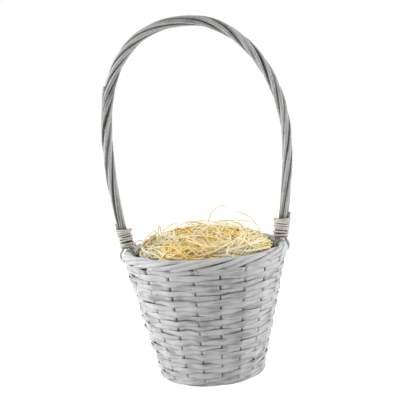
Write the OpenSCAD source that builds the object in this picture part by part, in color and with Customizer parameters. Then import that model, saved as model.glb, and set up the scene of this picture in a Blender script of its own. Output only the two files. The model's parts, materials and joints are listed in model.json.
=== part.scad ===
// Round wicker basket with a bound bow handle and a loose bed of straw.
// Millimetres, +Z up, origin on the floor at the middle of the base; the bow lies in the XZ plane.

/* [Body] */
// Diameter of the circle of stakes where they are bent up from the base
base_d = 119; // [105:1:135]
// Diameter of the circle of stakes at the middle of the border
rim_d = 192; // [180:1:205]
// Height of the middle of the border above the floor
rim_h = 157; // [140:1:180]
// Thickness of a stake
stake_d = 5.4; // [4.6:0.1:6]
// Thickness of a flat weaver, measured through the wall
weaver_t = 2.8; // [2:0.1:3.4]
// Gap between one row of weaving and the next
row_gap = 0.2; // [0.1:0.05:0.5]
// Gap left between willow pieces that bear on each other
bear_gap = 0.3; // [0.2:0.05:0.5]

/* [Base] */
// Height of the base sticks above the floor
base_rise = 8; // [7.5:0.1:10]
// Thickness of the three split base sticks
split_stick_d = 6.4; // [6:0.1:7]
// Thickness of the two sticks pushed through the splits
cross_stick_d = 3.6; // [3:0.1:4]
// Thickness of the weavers that close the base
base_weaver_d = 3.6; // [3:0.1:3.8]
// Distance between neighbouring rings of the base weave
base_ring_step = 6.3; // [6:0.1:7]
// Height of the wale that closes the edge of the base
foot_h = 11; // [10:0.5:14]
// Thickness of the foot wale outside the stakes
foot_t = 5; // [4:0.1:7]
// Rounding of the foot wale's edges
foot_round = 2.2; // [1:0.1:2.4]

/* [Handle] */
// Height of the bow's crown above the middle of the border
bow_rise = 289; // [260:1:320]
// Width of the bow at its widest, between the middles of its legs
bow_w = 226; // [222:1:250]
// Height of the widest place above the middle of the border
bow_belly = 140; // [110:1:165]
// Fullness of the left shoulder, where 2 is a plain ellipse
left_full = 2.4; // [1.8:0.05:2.8]
// Fullness of the right shoulder, where 2 is a plain ellipse
right_full = 1.9; // [1.8:0.05:2.8]
// How far the feet of the bow stand outside the middle of the border
foot_out = 6; // [4:0.1:8]
// Thickness of one strand of the bow
strand_d = 4.3; // [4:0.1:4.8]
// Thickness of the core that the strands are twisted round
core_d = 3; // [2:0.1:3]
// Length of bow that a strand takes for one turn
strand_lay = 150; // [120:5:220]
// Thickness of the eyes that hold the bow to the border
eye_d = 3; // [2.4:0.1:3.2]
// Play of the eyes round the border
eye_play = 0.8; // [0.6:0.05:1]
// Length of an eye's tips above the middle of the border
eye_tip = 38; // [36:1:46]
// Tilt of the bow to either side before its bindings meet the border
bow_tilt = 12; // [8:1:12]
// Thickness of the binding cane
binding_d = 2.2; // [1.8:0.1:2.4]
// Turns of each binding
binding_turns = 8; // [6:1:8]
// Gap between neighbouring turns of a binding
binding_gap = 0.75; // [0.6:0.05:0.9]

/* [Straw] */
// Height of the heaped straw above the middle of the border
straw_rise = 17; // [12:1:24]
// Diameter of the hollow in the straw, at its brim
nest_d = 118; // [90:1:125]
// Depth of the hollow below the top of the straw
nest_depth = 28; // [20:1:45]
// Gap between the straw and the wicker round it
straw_gap = 0.8; // [0.5:0.1:2]

/* [Hidden] */
// Willow, handle, binding and straw colours
wall_colour = [0.72, 0.72, 0.71];
handle_colour = [0.62, 0.61, 0.59];
binding_colour = [0.55, 0.51, 0.47];
straw_colour = [0.90, 0.82, 0.58];
// Counts: sticks of the base, stakes beside their ends, rows and strands
split_sticks = 3;
cross_sticks = 2;
spokes = 2 * (split_sticks + cross_sticks);
stakes = 2 * spokes;
rows = 22;
strands = 5;
// Angle from one stake to the next and from one spoke to the next
stake_pitch = 360 / stakes;
spoke_pitch = 360 / spokes;
// Sides of a swept rod
rod_sides = 6;
// Wall: radii of the stakes' circle, and its lean
stake_r = stake_d / 2;
base_r = base_d / 2;
rim_r = rim_d / 2;
lean_slope = (rim_r - base_r) / (rim_h - base_rise);
lean = atan(lean_slope);
// Border: each rod makes a turn of the rope while four stakes are passed
border_strands = 4;
border_turn = border_strands * stake_pitch;
// The slant of the rods brings them closer, which this gap makes up for
slant_gap = 0.1;
border_lay_r = (stake_d + bear_gap) / sqrt(2) + slant_gap;
border_r = border_lay_r + stake_r;
// Where a rod joins the rope and where it ends, as shares of its turn
border_from = 0.06;
border_to = 0.85;
border_steps = 12;
// Height below the rope at which a stake starts to bend over
border_riser = 3.6;
// Rows between the foot wale and the border
rows_low = foot_h + bear_gap;
rows_high = rim_h - border_r - bear_gap;
row_pitch = (rows_high - rows_low) / rows;
row_h = row_pitch - row_gap;
row_swing = stake_r / cos(lean) + row_h / 2 * lean_slope + bear_gap + weaver_t / 2;
// Where a row leaves its stake: share of the stake pitch, and share of the swing that is left there
row_bends = [[-0.29, 0.6], [-0.09, 1], [0.09, 1], [0.29, 0.6]];
// Base: slot through the split sticks, rings of weave and the butts of the stakes
stick_pitch = split_stick_d + bear_gap;
cross_pitch = cross_stick_d + bear_gap;
slot_w = cross_sticks * cross_pitch + bear_gap;
slot_h = cross_stick_d + bear_gap;
slath_x = stick_pitch / tan(spoke_pitch);
slath_y = stick_pitch + split_stick_d / 2 + cross_stick_d / 2;
// Rings of the base weave, from beside the stakes inwards to where the sticks have opened out
ring_short = 8;
ring_least = 19;
ring_last = base_r - ring_short;
base_rings = 1 + floor((ring_last - ring_least) / base_ring_step);
ring_first = ring_last - (base_rings - 1) * base_ring_step;
ring_swing = split_stick_d / 2 + base_weaver_d / 2 + 2 * bear_gap;
ring_steps = 8 * (split_sticks + cross_sticks);
// The sticks end short of the stakes by this much, and the foot wale keeps the same distance
stick_short = 2;
stick_r = base_r - stake_r - bear_gap - stick_short;
// The butts of the stakes reach in past this many rings of the weave
butt_rings = 1.5;
butt_r = ring_last - butt_rings * base_ring_step;
butt_d = 2 * (ring_swing * cos(stake_pitch * spokes / 4) - base_weaver_d / 2 - 2 * bear_gap);
knee_r = 4.4;
knee_steps = 3;
// Foot wale: a ledge under the stakes' butts and a wall outside them
foot_ledge = base_rise - stake_r - bear_gap;
foot_in = base_r + (foot_h - base_rise) * lean_slope + stake_r / cos(lean) + bear_gap;
foot_out_r = foot_in + foot_t;
foot_ledge_r = stick_r + bear_gap + stick_short;
// Bow: strands lie round the core, and the feet end clear of the tilting border
strand_r = strand_d / 2;
strand_lay_r = max((strand_r + bear_gap) / sin(180 / strands), core_d / 2 + bear_gap + strand_r);
bundle_r = strand_lay_r + strand_r;
bow_r = bow_w / 2;
bow_belly_z = rim_h + bow_belly;
bow_crown = bow_rise - bow_belly;
foot_x = rim_r + foot_out;
bow_foot_z = rim_h + (border_r + bear_gap + bundle_r * sin(bow_tilt)) / cos(bow_tilt);
leg_bulge = (bow_r - foot_x) / pow(bow_belly_z - bow_foot_z, 2);
leg_steps = 9;
shoulder_steps = 14;
// Eye: a loop round the border, with legs on either side of the bow's foot
eye_r = eye_d / 2;
eye_loop_r = border_r + eye_play + eye_r;
eye_leg_out = bundle_r + 2 * bear_gap + eye_r;
eye_steps = 14;
eye_from = 15;
eye_to = -255;
eye_tip_z = rim_h + eye_tip;
// Binding: turns round the foot of the bow and both legs of its eye
binding_r = binding_d / 2;
binding_a = eye_leg_out + eye_r + bear_gap + binding_r;
binding_b = bundle_r + bear_gap + binding_r;
binding_pitch = binding_d + binding_gap;
binding_low = rim_h + binding_r
    + (border_r + bear_gap + (binding_b + binding_r) * sin(bow_tilt)) / cos(bow_tilt);
binding_steps = 24;
// Straw: a plug inside the wall and the eyes, with a heaped edge and a hollow
straw_low = base_rise + ring_swing + base_weaver_d / 2 + bear_gap;
straw_top = rim_h + straw_rise;
wall_in = row_swing + weaver_t / 2 + row_h / 2 * lean_slope + straw_gap;
straw_r = rim_r - eye_loop_r - eye_r - straw_gap;
straw_round = 9;
nest_r = nest_d / 2;
// The sides of the hollow slope in by this much
nest_slope = 26;
nest_floor_r = nest_r - nest_slope;

function two(n) = n < 10 ? str("0", n) : str(n);
STAKE_NODES = [for (i = [1 : stakes]) str("stake_", two(i))];
ROW_NODES = [for (i = [1 : rows]) str("weaver_row_", two(i))];
SPLIT_NODES = [for (i = [1 : split_sticks]) str("split_stick_", i)];
CROSS_NODES = [for (i = [1 : cross_sticks]) str("cross_stick_", i)];
STRAND_NODES = [for (i = [1 : strands]) str("bow_strand_", i)];

// A point given by its radius, its angle from +X and its height
function polar(r, a, z) = [r * cos(a), r * sin(a), z];
function unit(v) = v / norm(v);
function wall_r(z) = base_r + (z - base_rise) * lean_slope;
function bezier(a, b, c, t) = (1 - t) * (1 - t) * a + 2 * t * (1 - t) * b + t * t * c;

// Directions along a path, and a normal carried along it without twisting
function along(p, closed) = let (n = len(p))
    [for (i = [0 : n - 1]) closed
        ? unit(p[(i + 1) % n] - p[(i + n - 1) % n])
        : unit(p[min(i + 1, n - 1)] - p[max(i - 1, 0)])];
function square_to(v, t) = unit(v - (v * t) * t);
function carried(t, v) =
    [for (i = 0, n = square_to(v, t[0]); i < len(t); i = i + 1, n = square_to(n, t[min(i, len(t) - 1)])) n];

// A round rod swept along a path; d is one thickness, or one for each point of the path
module rod(path, d, side, closed = false) {
    count = len(path);
    t = along(path, closed);
    n = closed ? [for (v = t) square_to(side, v)] : carried(t, side);
    points = [for (i = [0 : count - 1], k = [0 : rod_sides - 1])
        let (r = (is_list(d) ? d[i] : d) / 2, a = 360 * k / rod_sides)
        path[i] + r * (cos(a) * n[i] + sin(a) * cross(t[i], n[i]))];
    function at(i, k) = (i % count) * rod_sides + k % rod_sides;
    skin = [for (i = [0 : count - (closed ? 1 : 2)], k = [0 : rod_sides - 1], half = [0, 1])
        half == 0 ? [at(i, k), at(i + 1, k), at(i + 1, k + 1)] : [at(i, k), at(i + 1, k + 1), at(i, k + 1)]];
    caps = closed ? [] : [for (k = [1 : rod_sides - 2], end = [0, 1])
        end == 0 ? [at(0, 0), at(0, k), at(0, k + 1)]
            : [at(count - 1, 0), at(count - 1, k + 1), at(count - 1, k)]];
    polyhedron(points, concat(skin, caps));
}

// One split stick lies along X in the middle of the base and opens out to its two spokes
function spoke_end(a) = polar(stick_r, a, base_rise);
module split_stick(i) {
    place = i - (split_sticks + 1) / 2;
    y = place * stick_pitch;
    middle = [[-slath_x, y, base_rise], [slath_x, y, base_rise]];
    ends = [spoke_end(180 - place * spoke_pitch), spoke_end(place * spoke_pitch)];
    color(wall_colour) difference() {
        rod([ends[0], middle[0], middle[1], ends[1]], split_stick_d, [0, 0, 1]);
        translate([0, y, base_rise]) cube([slot_w, 2 * split_stick_d, slot_h], center = true);
    }
}

module cross_stick(i) {
    place = i - (cross_sticks + 1) / 2;
    x = place * cross_pitch;
    middle = [[x, -slath_y, base_rise], [x, slath_y, base_rise]];
    ends = [spoke_end(-90 + place * spoke_pitch), spoke_end(90 - place * spoke_pitch)];
    color(wall_colour) rod([ends[0], middle[0], middle[1], ends[1]], cross_stick_d, [0, 0, 1]);
}

// Rings of weave pass over one spoke and under the next
module base_weave() {
    color(wall_colour) for (i = [0 : base_rings - 1]) {
        swing = (i % 2 == 0 ? 1 : -1) * ring_swing;
        r = ring_first + i * base_ring_step;
        path = [for (k = [0 : ring_steps - 1])
            let (a = 360 * k / ring_steps) polar(r, a, base_rise + swing * cos(a * spokes / 2))];
        rod(path, base_weaver_d, [0, 0, 1], closed = true);
    }
}

// The foot wale carries the basket: its underside is the flat ring that it stands on
module foot_wale() {
    color(wall_colour) rotate_extrude($fn = 96) {
        difference() {
            translate([foot_ledge_r, 0]) square([foot_out_r - foot_ledge_r, foot_h]);
            translate([foot_ledge_r - 1, foot_ledge]) square([foot_in - foot_ledge_r + 1, foot_h]);
            for (z = [foot_round, foot_h - foot_round])
                translate([foot_out_r - foot_round, z])
                    difference() {
                        translate([0, z < foot_h / 2 ? -2 * foot_round : 0]) square(2 * foot_round);
                        circle(foot_round, $fn = 48);
                    }
        }
    }
}

// A stake: butt in the base, knee, riser in the wall, then its turn of the border rope
function border_at(a, on) = let (turn = 360 * on / border_turn - 90)
    polar(rim_r + border_lay_r * cos(turn), a + on, rim_h + border_lay_r * sin(turn));
module stake(i) {
    a = (i - 0.5) * stake_pitch;
    corner = polar(base_r, a, base_rise);
    knee_in = polar(base_r - knee_r, a, base_rise);
    knee_out = polar(wall_r(base_rise + knee_r * cos(lean)), a, base_rise + knee_r * cos(lean));
    riser_z = rim_h - border_lay_r - border_riser;
    riser = polar(wall_r(riser_z), a, riser_z);
    bend = polar(rim_r, a, rim_h - border_lay_r);
    first = border_at(a, border_from * border_turn);
    path = concat(
        [polar(butt_r, a, base_rise), polar(base_r - knee_r - stake_d, a, base_rise)],
        [for (k = [0 : knee_steps]) bezier(knee_in, corner, knee_out, k / knee_steps)],
        [for (k = [0 : knee_steps]) bezier(riser, bend, first, k / knee_steps)],
        [for (k = [1 : border_steps])
            border_at(a, border_turn * (border_from + (border_to - border_from) * k / border_steps))]);
    d = [for (k = [0 : len(path) - 1]) k < 2 ? butt_d : stake_d];
    color(wall_colour) rod(path, d, [0, 0, 1]);
}

// A row of weaving swings outside one stake and inside the next
function row_edge(r, swing) = [for (j = [0 : stakes - 1], bend = row_bends)
    let (side = (j % 2 == 0 ? swing : -swing), a = (j + 0.5 + bend[0]) * stake_pitch)
    polar(r + side * bend[1], a, 0)];
module weaver_ring(k) {
    low = rows_low + (k - 1) * row_pitch;
    r = wall_r(low + row_h / 2);
    swing = (k % 2 == 0 ? 1 : -1) * row_swing;
    edge = [for (side = [1, -1], p = row_edge(r + side * weaver_t / 2, swing)) [p.x, p.y]];
    count = len(edge) / 2;
    translate([0, 0, low]) linear_extrude(row_h)
        polygon(edge, [[for (j = [0 : count - 1]) j], [for (j = [0 : count - 1]) count + j]]);
}

// The top row is notched where the eyes of the handle pass under the border
module weaver_row(k) {
    notch_w = eye_d + 2 * (bear_gap + eye_loop_r * sin(bow_tilt));
    notch_low = rim_h - eye_loop_r - eye_r - bear_gap;
    color(wall_colour) difference() {
        weaver_ring(k);
        if (k == rows)
            translate([0, 0, notch_low + rim_h / 2]) cube([2 * rim_d, notch_w, rim_h], center = true);
    }
}

// Middle line of the bow, from its left foot over the crown to its right foot
function leg_x(z) = bow_r - leg_bulge * pow(bow_belly_z - z, 2);
function shoulder(t, full) = [bow_r * pow(cos(t), 2 / full), bow_crown * pow(sin(t), 2 / full)];
function half_bow(full) = concat(
    [for (k = [0 : leg_steps])
        let (z = bow_foot_z + (bow_belly_z - bow_foot_z) * k / leg_steps) [leg_x(z), z]],
    [for (k = [1 : shoulder_steps])
        let (s = shoulder(90 * k / shoulder_steps, full)) [s.x, bow_belly_z + s.y]]);
left_half = half_bow(left_full);
right_half = half_bow(right_full);
bow_line = concat(
    [for (p = left_half) [-p.x, 0, p.y]],
    [for (k = [len(right_half) - 2 : -1 : 0]) [right_half[k].x, 0, right_half[k].y]]);
bow_length = [for (i = 0, s = 0; i < len(bow_line); i = i + 1,
    s = s + (i < len(bow_line) ? norm(bow_line[i] - bow_line[i - 1]) : 0)) s];

module bow_core() {
    color(handle_colour) rod(bow_line, core_d, [0, 1, 0]);
}

// A strand runs round the core as a long right-handed twist
module bow_strand(j) {
    t = along(bow_line, false);
    path = [for (i = [0 : len(bow_line) - 1])
        let (out = [-t[i].z, 0, t[i].x], turn = 360 * (bow_length[i] / strand_lay + j / strands))
        bow_line[i] + strand_lay_r * (cos(turn) * out + sin(turn) * cross(t[i], out))];
    color(handle_colour) rod(path, strand_d, [0, 1, 0]);
}

// An eye goes down outside the border, under it and up inside, with both tips past the binding
module eye(side) {
    loop = [for (k = [0 : eye_steps]) let (a = eye_from + (eye_to - eye_from) * k / eye_steps)
        [rim_r + eye_loop_r * cos(a), 0, rim_h + eye_loop_r * sin(a)]];
    leg_z = [eye_tip_z, (eye_tip_z + bow_foot_z) / 2, bow_foot_z];
    outer = [for (z = leg_z) [leg_x(z) + eye_leg_out, 0, z]];
    inner = [for (k = [2 : -1 : 0]) [leg_x(leg_z[k]) - eye_leg_out, 0, leg_z[k]]];
    path = [for (p = concat(outer, loop, inner)) [side * p.x, p.y, p.z]];
    color(handle_colour) rod(path, eye_d, [0, 1, 0]);
}

// A binding is one cane wound round the bow's foot and the legs of its eye, with straight ends
function binding_path(side) =
    let (count = binding_turns * binding_steps,
        turns = [for (k = [0 : count])
            let (a = 360 * k / binding_steps, z = binding_low + a / 360 * binding_pitch)
            [side * (leg_x(z) + binding_a * cos(a)), binding_b * sin(a), z]],
        start = turns[0] - binding_d * unit(turns[1] - turns[0]),
        end = turns[count] + binding_d * unit(turns[count] - turns[count - 1]))
    concat([start], turns, [end]);
function least_gap(p, near) = min([for (i = [0 : len(p) - 1 - near], j = [i + near : len(p) - 1])
    norm(p[j] - p[i])]) - binding_d;
module binding(side) {
    path = binding_path(side);
    echo(binding_least_gap = least_gap(path, binding_steps / 2));
    color(binding_colour) rod(path, binding_d, [0, 0, 1]);
}

// The straw fills the basket, stands up a little round the border and has a hollow to lay things in
module straw_bed() {
    low_r = wall_r(straw_low) - wall_in;
    high_z = rim_h - border_r - row_h;
    high_r = min(wall_r(high_z) - wall_in, straw_r);
    heap_r = high_r - straw_round;
    color(straw_colour) rotate_extrude($fn = 96) difference() {
        union() {
            polygon([[0, straw_low], [low_r, straw_low], [high_r, high_z],
                [high_r, straw_top - straw_round], [heap_r, straw_top], [0, straw_top]]);
            translate([heap_r, straw_top - straw_round]) circle(straw_round, $fn = 48);
        }
        polygon([[0, straw_top - nest_depth], [nest_floor_r, straw_top - nest_depth],
            [nest_r, straw_top], [nest_r, straw_top + 1], [0, straw_top + 1]]);
        translate([-rim_d, 0]) square([rim_d, 2 * rim_h]);
    }
}

for (i = [1 : split_sticks]) split_stick(i);
for (i = [1 : cross_sticks]) cross_stick(i);
base_weave();
foot_wale();
for (i = [1 : stakes]) stake(i);
for (i = [1 : rows]) weaver_row(i);
bow_core();
for (i = [1 : strands]) bow_strand(i);
eye(-1);  // left_eye
eye(1);  // right_eye
binding(-1);  // left_binding
binding(1);  // right_binding
straw_bed();
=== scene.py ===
import json
import math
from collections import namedtuple

import bpy
import numpy as np
from bpy.props import FloatProperty, FloatVectorProperty, IntProperty, PointerProperty
from mathutils import Matrix, Vector


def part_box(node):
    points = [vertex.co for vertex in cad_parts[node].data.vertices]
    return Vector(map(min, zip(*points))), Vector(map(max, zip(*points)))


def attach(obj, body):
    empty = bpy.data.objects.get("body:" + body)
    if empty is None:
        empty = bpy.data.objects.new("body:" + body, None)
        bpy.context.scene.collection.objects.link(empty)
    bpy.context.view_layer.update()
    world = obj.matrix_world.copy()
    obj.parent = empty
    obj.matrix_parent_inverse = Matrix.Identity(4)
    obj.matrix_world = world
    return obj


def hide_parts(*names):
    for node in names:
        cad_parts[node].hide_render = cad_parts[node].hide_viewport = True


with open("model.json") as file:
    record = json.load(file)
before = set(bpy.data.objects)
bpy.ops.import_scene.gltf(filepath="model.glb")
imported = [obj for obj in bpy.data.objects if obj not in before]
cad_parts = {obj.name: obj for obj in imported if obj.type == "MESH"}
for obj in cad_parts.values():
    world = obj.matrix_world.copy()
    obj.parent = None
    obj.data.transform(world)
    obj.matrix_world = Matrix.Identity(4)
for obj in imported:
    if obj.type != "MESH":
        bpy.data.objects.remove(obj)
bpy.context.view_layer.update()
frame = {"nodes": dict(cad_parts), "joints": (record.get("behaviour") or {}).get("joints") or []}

bl_info = {
    "name": "Wicker Basket",
    "version": (1, 0, 0),
    "blender": (4, 5, 0),
    "location": "3D View > Sidebar > Basket",
    "description": "Weaves a round willow basket with a bound bow handle and a bed of straw",
    "category": "Add Mesh",
}

# Sizes read from the frame, in metres
NODES = frame["nodes"]


def nodes_of(piece):
    """Names of the nodes of a piece that repeats, in order."""
    return sorted(name for name in NODES if name.startswith(piece + "_"))


def node_points(node):
    """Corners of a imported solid."""
    mesh = NODES[node].data
    flat = np.empty(3 * len(mesh.vertices), np.float32)
    mesh.vertices.foreach_get("co", flat)
    return flat.reshape(-1, 3).astype(float)


def row_size(node):
    """Middle radius of a row of weaving, and the heights of its lower and upper edges."""
    points = node_points(node)
    radius = np.hypot(points[:, 0], points[:, 1])
    return (radius.min() + radius.max()) / 2, points[:, 2].min(), points[:, 2].max()


STAKE_NODES = nodes_of("stake")
ROW_NODES = nodes_of("weaver_row")
STRAND_NODES = nodes_of("bow_strand")
SPLIT_NODES = nodes_of("split_stick")
CROSS_NODES = nodes_of("cross_stick")
STAKES = len(STAKE_NODES)
STAKE_PITCH = math.tau / STAKES
ROWS = [row_size(node) for node in ROW_NODES]
ROW_MIDDLES = [(low + high) / 2 for radius, low, high in ROWS]
LEAN_SLOPE = (ROWS[-1][0] - ROWS[0][0]) / (ROW_MIDDLES[-1] - ROW_MIDDLES[0])
LEAN = math.atan(LEAN_SLOPE)


def wall_radius(z):
    """Radius of the circle of stakes at a height."""
    return ROWS[0][0] + (z - ROW_MIDDLES[0]) * LEAN_SLOPE


BASE_H = sum(corner.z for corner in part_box(SPLIT_NODES[1])) / 2
BASE_R = wall_radius(BASE_H)
RIM_H = next(joint["pos_m"][2] for joint in frame["joints"] if joint["name"] == "handle_tilt")
RIM_R = wall_radius(RIM_H)
CORE_LOW, CORE_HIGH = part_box("bow_core")
CORE_R = (CORE_HIGH.y - CORE_LOW.y) / 2

# First seed of each kind of piece
SEEDS = {"split_stick": 38, "cross_stick": 54, "base_ring": 60, "stake": 100, "drift": 199, "row": 200,
         "wale_rod": 300, "wale_row": 310, "wale_back": 311, "strand": 400, "left_eye": 499, "right_eye": 501,
         "left_binding": 599, "right_binding": 601, "loose_end": 610, "straw": 700}


def chance(piece, i=0):
    """Random draws for one piece, the same in every run."""
    return np.random.RandomState(SEEDS[piece] + i)


# Settings

def length(name, description, default):
    return FloatProperty(name=name, description=description, default=default, min=0, unit="LENGTH")


def ratio(name, description, default):
    return FloatProperty(name=name, description=description, default=default, min=0)


def power(name, description, default):
    return FloatProperty(name=name, description=description, default=default, min=0, unit="POWER")


def colour(name, description, default):
    return FloatVectorProperty(name=name, description=description, default=default, subtype="COLOR",
                               size=3, min=0, max=1)


def count(name, description, default):
    return IntProperty(name=name, description=description, default=default, min=1)


class WallSettings(bpy.types.PropertyGroup):
    stake_thick: length("Stake", "Thickness of a stake inside the wall", 0.0017)
    border_thick: length("Border rod", "Thickness of a stake where it lies in the border", 0.0055)
    border_lay: length("Border lay", "Radius on which the rods of the border lie", 0.0045)
    border_out: length("Border out", "How far the border stands outside the frame's border", 0.0030)
    weaver_thick: length("Weaver", "Thickness of a weaver through the wall", 0.0018)
    weaver_half: length("Weaver behind a stake", "Height of a weaver where it passes behind a stake", 0.0063)
    weaver_full: length("Weaver over a stake", "Height of a weaver where it crosses a stake", 0.0086)
    stroke_out: length("Stroke", "How far the weave stands outside the frame's stakes", 0.0056)
    wale_thick: length("Wale rod", "Thickness of a rod of the foot wale", 0.0036)
    base_weaver: length("Base weaver", "Thickness of a weaver of the base", 0.0040)
    wash_colour: colour("Wash", "Colour of the whitewashed willow", (0.59, 0.59, 0.595))
    # Bare willow where the wash is thin, and painted shade on the faces turned away and between the rows
    bare_and_shade_colour: colour("Bare willow", "Colour where the wash is thin", (0.27, 0.266, 0.258))
    # Painted shade: near black on the stakes where they show in the slits of the weave
    stake_shade_colour: colour("Stakes", "Colour of the unwashed stakes between the weavers", (0.09, 0.088, 0.085))


class HandleSettings(bpy.types.PropertyGroup):
    belly: length("Belly", "Height of the bow's widest place above the border", 0.140)
    foot_out: length("Foot", "How far the bow's feet stand outside the frame's border", 0.0007)
    left_full: ratio("Left shoulder", "Fullness of the left shoulder, where 2 is an ellipse", 2.4)
    right_full: ratio("Right shoulder", "Fullness of the right shoulder, where 2 is an ellipse", 1.9)
    strand_wide: length("Strand width", "Width of a strand of the bow", 0.0056)
    strand_thick: length("Strand thickness", "Thickness of a strand of the bow", 0.0047)
    strand_lay: length("Lay", "Length of bow for one turn of a strand", 0.135)
    eye_thick: length("Eye", "Thickness of the eyes round the border", 0.0028)
    cane_wide: length("Cane width", "Width of the binding cane", 0.0023)
    cane_thick: length("Cane thickness", "Thickness of the binding cane", 0.0018)
    cane_turns: count("Turns", "Turns of a binding", 8)
    wash_colour: colour("Wash", "Colour of the washed strands", (0.485, 0.485, 0.48))
    # Bare willow, and painted shade between the strands and on their faces turned in
    bare_and_shade_colour: colour("Bare willow", "Colour between the strands", (0.16, 0.155, 0.15))
    cane_colour: colour("Cane", "Colour of the binding cane", (0.70, 0.67, 0.63))
    cane_dark: colour("Cane edges", "Colour of the cane's edges", (0.36, 0.325, 0.29))


class StrawSettings(bpy.types.PropertyGroup):
    stalks: count("Stalks", "Stalks that lie on the bed of straw", 3400)
    crossed: count("Crossed stalks", "Stalks that lie across the hollow", 500)
    strays: count("Stray stalks", "Stalks that stand up from the bed", 26)
    stalk_wide: length("Stalk", "Width of a stalk", 0.0027)
    pale_colour: colour("Pale straw", "Colour of the palest stalks", (0.98, 0.91, 0.66))
    ripe_colour: colour("Ripe straw", "Colour of the darkest stalks", (0.97, 0.71, 0.22))
    # Painted shade: a dull colour that darkens the straw by the left foot
    left_shade_colour: colour("Dull straw", "Colour of the older straw by the left foot", (0.52, 0.49, 0.32))
    # Painted shade between the stalks, where the bed lies deep
    deep_shade_colour: colour("Deep straw", "Colour of the bed between the stalks", (0.84, 0.62, 0.26))


class StageSettings(bpy.types.PropertyGroup):
    floor_colour: colour("Floor", "Colour of the floor", (0.92, 0.92, 0.92))
    left_power: power("Left lamp", "Power of the left lamp", 14)
    right_power: power("Right lamp", "Power of the right lamp", 11)
    top_power: power("Top lamp", "Power of the top lamp", 7)
    sky: ratio("Sky", "Strength of the even light from all round", 0.34)


# Materials

# Places of the two colours and of the result among the sockets of a Mix node
MIX_FIRST, MIX_SECOND, MIX_RESULT = 6, 7, 2


class Wire:
    """One output of a material's nodes; sums, differences and products of wires add Math nodes."""

    def __init__(self, tree, socket=None):
        self.tree = tree
        self.socket = socket

    def node(self, kind, sockets=None, out=0, **settings):
        """Adds a node: its settings first, then the values or wires of its sockets."""
        made = self.tree.nodes.new(kind)
        for key, value in settings.items():
            setattr(made, key, value)
        for key, value in (sockets or {}).items():
            if isinstance(value, Wire):
                self.tree.links.new(value.socket, made.inputs[key])
            else:
                made.inputs[key].default_value = value
        return Wire(self.tree, made.outputs[out])

    def math(self, operation, first, second):
        return self.node("ShaderNodeMath", {0: first, 1: second}, operation=operation)

    def __add__(self, other):
        return self.math("ADD", self, other)

    __radd__ = __add__

    def __sub__(self, other):
        return self.math("SUBTRACT", self, other)

    def __rsub__(self, other):
        return self.math("SUBTRACT", other, self)

    def __mul__(self, other):
        return self.math("MULTIPLY", self, other)

    __rmul__ = __mul__

    def step(self, low, high):
        """Rises smoothly from 0 at low to 1 at high."""
        return self.node("ShaderNodeMapRange", {"Value": self, "From Min": low, "From Max": high},
                         interpolation_type="SMOOTHSTEP")

    def noise(self, place, scale, detail):
        """Noise of one cell a metre on a place, stretched by a scale for each axis."""
        place = self.node("ShaderNodeMapping", {"Vector": place, "Scale": scale})
        return self.node("ShaderNodeTexNoise", {"Vector": place, "Scale": 1.0, "Detail": detail})

    def mix(self, factor, first, second):
        """Blends two colours."""
        return self.node("ShaderNodeMix", {0: factor, MIX_FIRST: first, MIX_SECOND: second},
                         out=MIX_RESULT, data_type="RGBA")

    def attribute(self, name):
        return self.node("ShaderNodeAttribute", out="Fac", attribute_name=name)

    def near(self, place, at, reach, share):
        """A share round one place, which fades out over its reach."""
        apart = self.node("ShaderNodeVectorMath", {0: place, 1: at}, out="Value", operation="DISTANCE")
        return share - apart.step(*reach) * share

    def seen(self):
        """1 for what the camera sees, straight or in a gloss, and 0 for the light that surfaces get."""
        return (self.node("ShaderNodeLightPath", out="Is Camera Ray")
                + self.node("ShaderNodeLightPath", out="Is Glossy Ray"))


def rgba(value):
    return (*value, 1.0)


def new_material(name):
    """A material with its shader node and a wire to add other nodes with."""
    material = bpy.data.materials.new(name)
    material.use_nodes = True
    return material, material.node_tree.nodes["Principled BSDF"], Wire(material.node_tree)


def feed(shader, shine, **wires):
    """Sets a shader's shine and joins wires to it; an underscore in a name stands for a space."""
    shader.inputs["Specular IOR Level"].default_value = shine
    for name, wire in wires.items():
        wire.tree.links.new(wire.socket, shader.inputs[name.replace("_", " ")])


# Strength of the streaks, cells a metre of grain and of fibres (along, round) and depth of the relief
Grain = namedtuple("Grain", "streaks lines fibres relief")
WALL_GRAIN = Grain(0.6, (35, 330, 1), (60, 900, 1), 0.0002)
HANDLE_GRAIN = Grain(0.88, (6, 330, 1), (12, 640, 1), 0.0001)
CANE_GRAIN = Grain(0.3, (20, 500, 1), (40, 1100, 1), 0.0002)
LINE_EDGE, LINE_SHARE = (0.42, 0.66), 0.65
FIBRE_EDGE, FIBRE_SHARE = (0.45, 0.7), 0.35
PATCH_SCALE, PATCH_EDGE = (70, 70, 70), (0.3, 0.62)
WASH_LEAST, WASH_MORE = 0.80, 0.26
# The stakes' painted shade takes over as the stored wash falls from nothing to -1
SLIT_SHADE_EDGE = (-1.0, 0.0)
TONE_MIDDLE, TONE_SHARE = 0.5, 0.55
WILLOW_ROUGH, STREAK_ROUGH = 0.62, 0.22
WILLOW_BUMP = 0.4
WILLOW_SHINE = 0.35


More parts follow.
